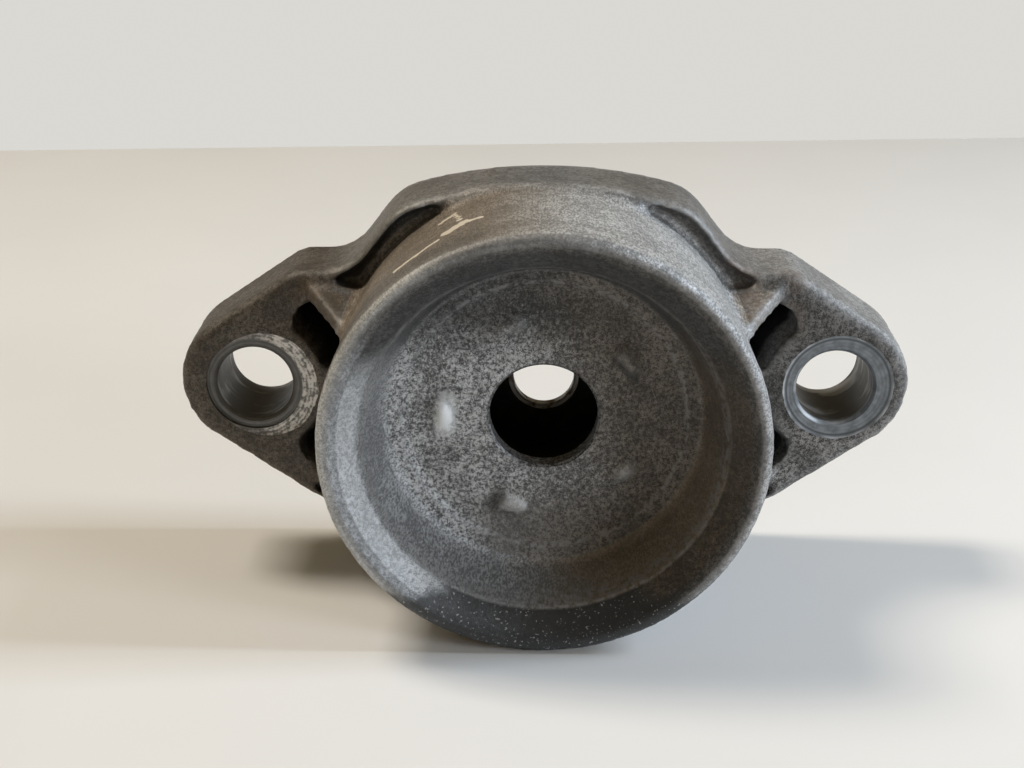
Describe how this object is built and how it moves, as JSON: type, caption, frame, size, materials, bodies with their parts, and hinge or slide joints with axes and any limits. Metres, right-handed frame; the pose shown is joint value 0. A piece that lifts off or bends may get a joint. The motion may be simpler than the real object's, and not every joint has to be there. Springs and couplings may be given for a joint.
{
  "type": "shock absorber bracket",
  "caption": "Cast aluminium top mount for a rear shock absorber: a deep cup with a rod hole, on a two-eared flange with a bonded rubber bushing.",
  "frame": {"origin": "middle of the mating face, halfway between the two bolt holes", "axes": "+Y along the cup's axis, out of the mating face; +X from one bolt hole to the other; +Z towards the notched side of the flange"},
  "size_m": [0.1382, 0.0477, 0.0784],
  "materials": {
    "casting": "as-cast, oxidised and dirty",
    "rubber": "matt",
    "plate_steel": "dull",
    "ring_steel": "dull, zinc worn"
  },
  "bodies": {
    "root": {"bracket_casting": "casting", "rubber_bushing": "rubber", "rod_plate": "plate_steel", "retaining_ring": "ring_steel"}
  },
  "joints": []
}
